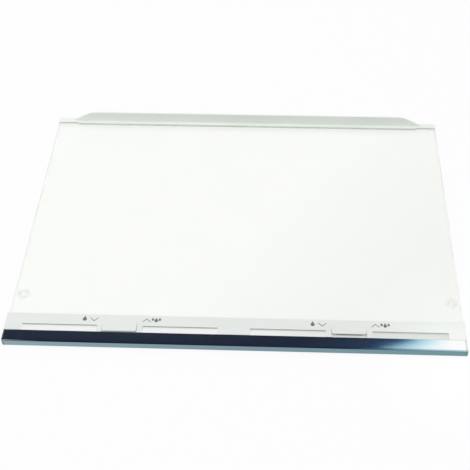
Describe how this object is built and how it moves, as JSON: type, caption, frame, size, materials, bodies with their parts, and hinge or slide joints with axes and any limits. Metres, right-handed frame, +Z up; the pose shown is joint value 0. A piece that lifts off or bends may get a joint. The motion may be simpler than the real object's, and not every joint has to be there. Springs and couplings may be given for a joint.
{
  "type": "refrigerator shelf",
  "caption": "Clear glass refrigerator shelf with a metal-faced front trim that holds sliding humidity vents for the drawers below, and a rear trim with a raised stop edge.",
  "frame": {"origin": "bottom centre of the shelf's overall box", "axes": "+X to the right seen from the front, +Y to the back, +Z up from the glass"},
  "size_m": [0.487, 0.348, 0.0211],
  "materials": {
    "glass": "clear, ground edges",
    "trim": "satin moulding",
    "strip": "polished",
    "strip_cap": "polished",
    "tab": "satin moulding",
    "shutter": "satin moulding",
    "rear_trim": "satin moulding",
    "bumper": "clear silicone"
  },
  "bodies": {
    "shelf": {"glass_pane": "glass", "front_trim": "trim", "front_strip": "strip", "end_cap_left": "strip_cap", "end_cap_right": "strip_cap", "rear_trim": "rear_trim", "bumper_left": "bumper", "bumper_right": "bumper"},
    "slider_left": {"tab_left": "tab", "shutter_left": "shutter"},
    "slider_right": {"tab_right": "tab", "shutter_right": "shutter"}
  },
  "joints": [
    {"name": "vent_slide_left", "type": "slide", "parent": "shelf", "child": "slider_left", "axis": [0, 1, 0], "range_m": [0, 0.0032]},
    {"name": "vent_slide_right", "type": "slide", "parent": "shelf", "child": "slider_right", "axis": [0, 1, 0], "range_m": [-0.0032, 0]}
  ]
}
